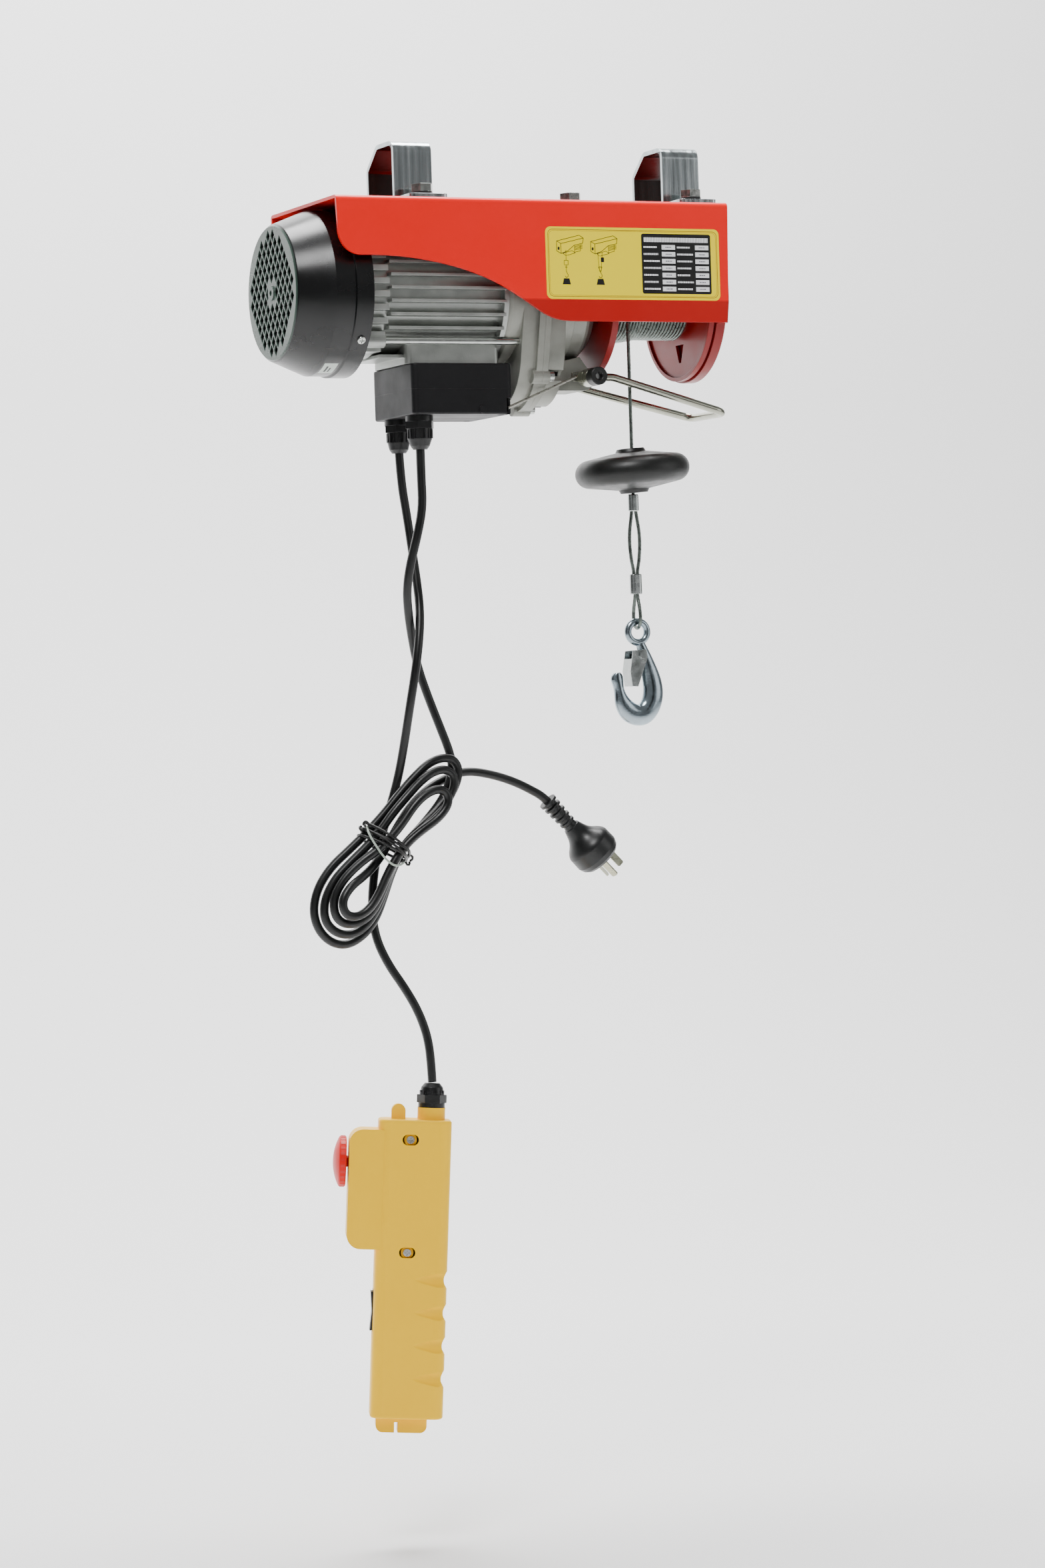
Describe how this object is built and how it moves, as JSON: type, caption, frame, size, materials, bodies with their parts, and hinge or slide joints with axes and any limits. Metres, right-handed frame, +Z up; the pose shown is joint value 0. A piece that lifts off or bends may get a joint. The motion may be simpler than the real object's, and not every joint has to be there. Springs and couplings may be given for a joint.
{
  "type": "electric wire rope hoist",
  "caption": "Compact electric wire rope hoist: finned motor, gearbox and rope drum in a folded channel, with limit lever, load hook, tied mains cord and hand control.",
  "frame": {"origin": "top face of the frame's top plate, midway between the two hanger brackets, where the carrying beam lies", "axes": "+Z up out of the top plate, +X along the hoist from motor to rope drum, -Y the side that carries the rating plate"},
  "size_m": [0.4117, 0.1651, 1.1144],
  "materials": {
    "red_enamel": "gloss enamel",
    "zinc": "bright zinc plating",
    "cast_alloy": "as-cast, shot-blasted",
    "black_plastic": "moulded",
    "yellow_plastic": "moulded",
    "red_plastic": "moulded",
    "rubber": "moulded",
    "cord_jacket": "extruded",
    "steel": "machined",
    "wire_rope": "galvanised strands",
    "plate_print": "printed and varnished",
    "copper": "enamelled copper wire",
    "spring_steel": "drawn",
    "pin_brass": "nickel plated"
  },
  "bodies": {
    "root": {"box_screws": "steel", "brake_coil": "steel", "cable_glands": "black_plastic", "cord_tie": "black_plastic", "drum_end_plate": "red_enamel", "fan_cover": "black_plastic", "fan_cover_screws": "zinc", "frame_bolts": "zinc", "frame_channel": "red_enamel", "gearbox_bolts": "zinc", "gearbox_cover": "cast_alloy", "gearbox_housing": "cast_alloy", "handset_screws": "zinc", "handset_shell_far": "yellow_plastic", "handset_shell_near": "yellow_plastic", "handset_switches": "black_plastic", "hanger_bracket_left": "zinc", "hanger_bracket_right": "zinc", "lever_end_cap": "rubber", "lever_shaft": "steel", "lever_spring": "spring_steel", "limit_switch": "black_plastic", "motor_end_shield": "cast_alloy", "motor_housing": "cast_alloy", "pendant_cord": "cord_jacket", "plug_body": "cord_jacket", "plug_pins": "pin_brass", "power_cord": "cord_jacket", "power_cord_hank": "cord_jacket", "power_cord_tail": "cord_jacket", "rating_plate": "plate_print", "run_capacitor": "black_plastic", "shaft_bearings": "steel", "spring_washers": "rubber", "stator": "copper", "switch_box_base": "black_plastic", "switch_box_lid": "black_plastic", "terminal_block": "black_plastic", "tie_rods": "zinc", "wire_rope_run": "wire_rope"},
    "rotor": {"rotor_shaft": "steel", "rotor_core": "steel", "brake_disc": "steel", "cooling_fan": "black_plastic"},
    "idler": {"idler_shaft": "steel", "idler_gear": "steel"},
    "drum": {"rope_drum": "red_enamel", "rope_winding": "wire_rope", "output_shaft": "steel", "output_gear": "steel"},
    "hook_block": {"rope_ferrules": "zinc", "rope_loop": "wire_rope"},
    "weight": {"limit_weight": "rubber"},
    "hook": {"load_hook": "zinc", "latch_pin": "zinc"},
    "latch": {"hook_latch": "zinc"},
    "lever": {"limit_lever": "zinc"},
    "rod": {"switch_rod": "steel"},
    "estop": {"estop_button": "red_plastic"},
    "rocker": {"rocker_button": "black_plastic"}
  },
  "joints": [
    {"name": "rotor_spin", "type": "hinge", "parent": "root", "child": "rotor", "pos_m": [0, 0, -0.076], "axis": [1, 0, 0], "range_deg": [-706, 7700]},
    {"name": "idler_spin", "type": "hinge", "parent": "root", "child": "idler", "pos_m": [0, 0, -0.12475], "axis": [1, 0, 0], "range_deg": [-1401, 129]},
    {"name": "drum_spin", "type": "hinge", "parent": "root", "child": "drum", "pos_m": [0, 0, -0.082], "axis": [1, 0, 0], "range_deg": [-35, 374.5]},
    {"name": "hook_travel", "type": "slide", "parent": "root", "child": "hook_block", "axis": [0, 0, -1], "range_m": [-0.0221, 0.2402], "deforming": ["wire_rope_run"]},
    {"name": "weight_slide", "type": "slide", "parent": "hook_block", "child": "weight", "axis": [0, 0, 1], "range_m": [0, 0.018]},
    {"name": "hook_swing", "type": "hinge", "parent": "hook_block", "child": "hook", "pos_m": [0.069, -0.0371, -0.3699], "axis": [0, 1, 0], "range_deg": [-45, 45]},
    {"name": "latch_hinge", "type": "hinge", "parent": "hook", "child": "latch", "pos_m": [0.0696, -0.0371, -0.3946], "axis": [0, -1, 0], "range_deg": [0, 17], "stiffness_Nm_per_rad": 0.05, "springref_deg": -20.05},
    {"name": "lever_lift", "type": "hinge", "parent": "root", "child": "lever", "pos_m": [0.0285, 0, -0.151], "axis": [0, -1, 0], "range_deg": [0, 9], "stiffness_Nm_per_rad": 1.5, "springref_deg": -28.65},
    {"name": "rod_pivot", "type": "hinge", "parent": "lever", "child": "rod", "pos_m": [0.0155, -0.043, -0.15], "axis": [0, -1, 0], "range_deg": [-10.7, 0.1]},
    {"name": "estop_push", "type": "slide", "parent": "root", "child": "estop", "axis": [0.9374, -0.342, -0.0655], "range_m": [0, 0.002], "stiffness_N_per_m": 600, "springref_m": -0.003},
    {"name": "rocker_tilt", "type": "hinge", "parent": "root", "child": "rocker", "pos_m": [-0.18547, -0.00608, -0.95391], "axis": [0.3412, 0.9397, -0.0239], "range_deg": [-6, 6], "stiffness_Nm_per_rad": 0.4}
  ],
  "couplings": [
    {"joint": "idler_spin", "follows": "rotor_spin", "ratio": -0.18182},
    {"joint": "drum_spin", "follows": "rotor_spin", "ratio": 0.048485},
    {"joint": "hook_travel", "follows": "rotor_spin", "m_per_rad": 0.0017842},
    {"joint": "rod_pivot", "follows": "lever_lift", "ratio": -1.175}
  ]
}
